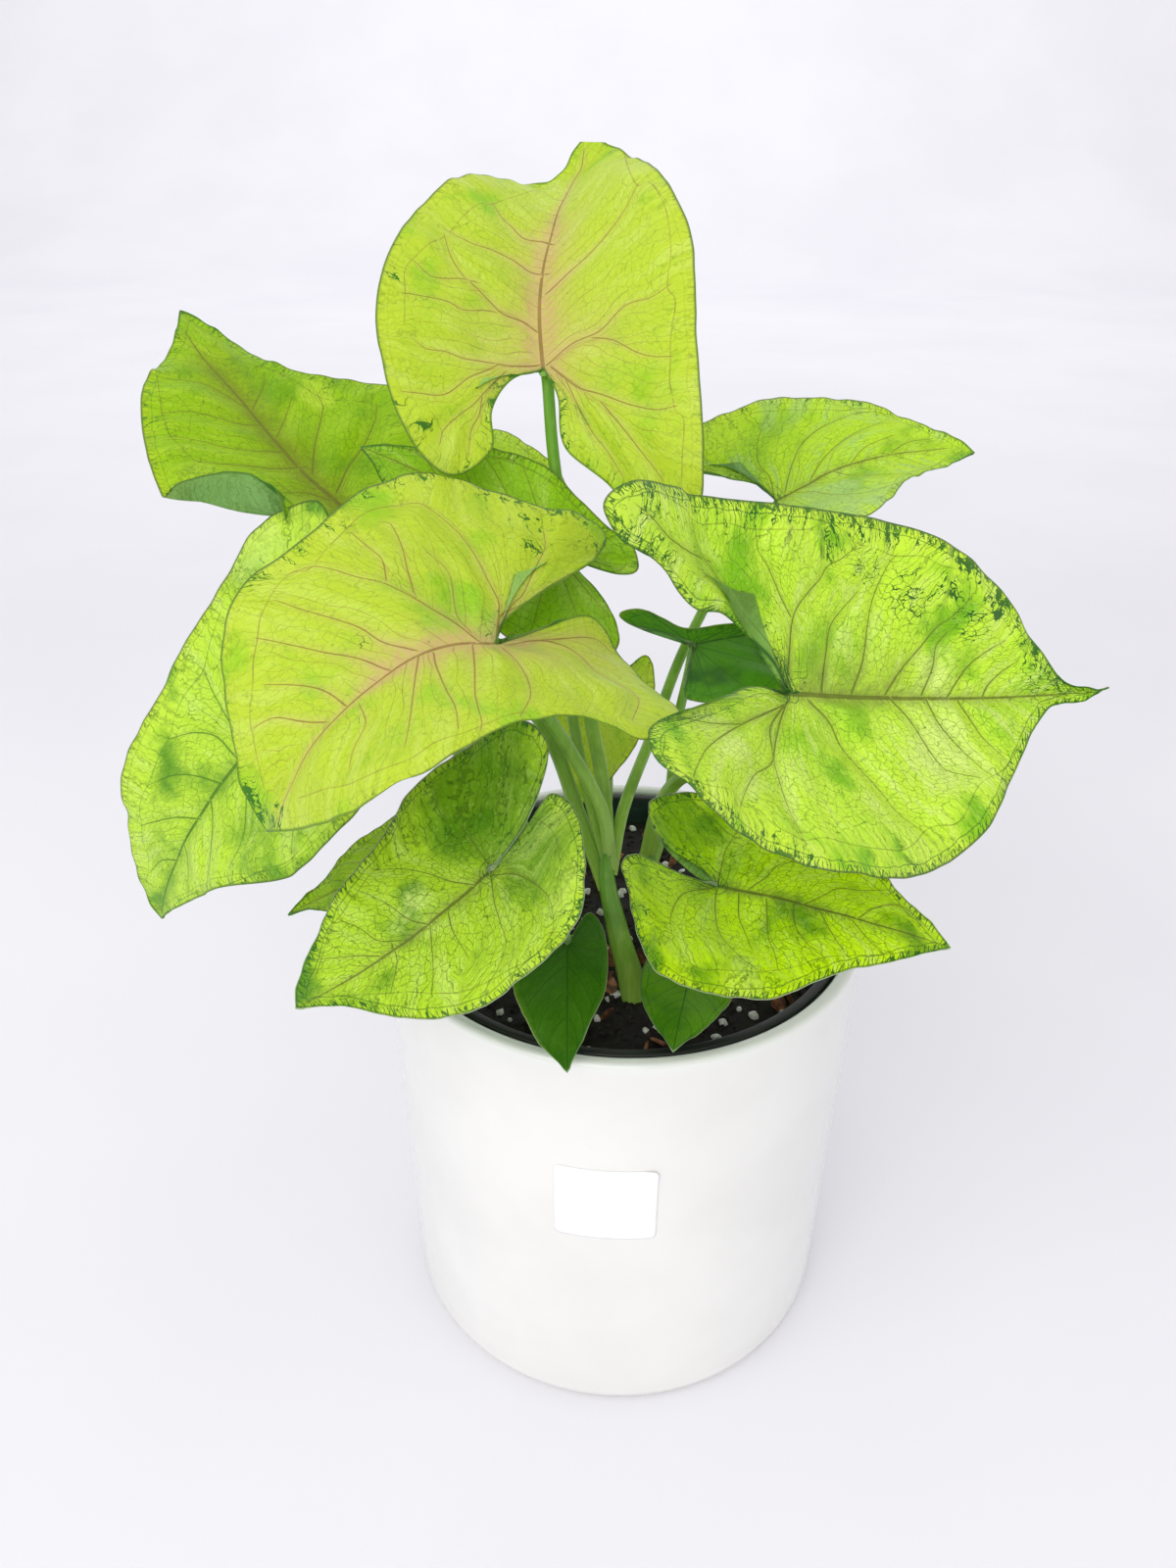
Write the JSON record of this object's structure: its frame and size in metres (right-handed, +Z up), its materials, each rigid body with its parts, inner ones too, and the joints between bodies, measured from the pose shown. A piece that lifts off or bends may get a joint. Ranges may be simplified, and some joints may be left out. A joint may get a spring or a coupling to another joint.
{
  "type": "potted arrowhead plant",
  "caption": "Leafy arrowhead plant with arrow-shaped blades on long stalks, growing from potting soil in a dark nursery pot inside a white cylinder cover pot.",
  "frame": {"origin": "middle of the cover pot's underside, where the pot stands on its shelf", "axes": "+Z up along the pot's axis; -Y is the front of the plant, facing the viewer of the picture; +X is the viewer's right"},
  "size_m": [0.2314, 0.1638, 0.2969],
  "materials": {
    "white_glaze": "gloss",
    "green_plastic": "satin",
    "dark_soil": "matte",
    "stalk_green": "satin",
    "blade_green": "satin"
  },
  "bodies": {
    "root": {"cover_pot": "white_glaze", "nursery_pot": "green_plastic", "potting_soil": "dark_soil", "stalks_main": "stalk_green", "stalks_right": "stalk_green", "stalks_left": "stalk_green", "stalks_back": "stalk_green", "leaf_top": "blade_green", "leaf_upper_left": "blade_green", "leaf_right_back": "blade_green", "leaf_centre": "blade_green", "leaf_right_big": "blade_green", "leaf_left_hanging": "blade_green", "leaf_front_left": "blade_green", "leaf_front_right": "blade_green", "leaf_over_rim": "blade_green", "leaf_small_heart": "blade_green", "leaf_behind_centre": "blade_green", "leaf_back_upper": "blade_green", "leaf_back_right": "blade_green", "leaf_back_low": "blade_green", "leaf_low_left": "blade_green"}
  },
  "joints": []
}
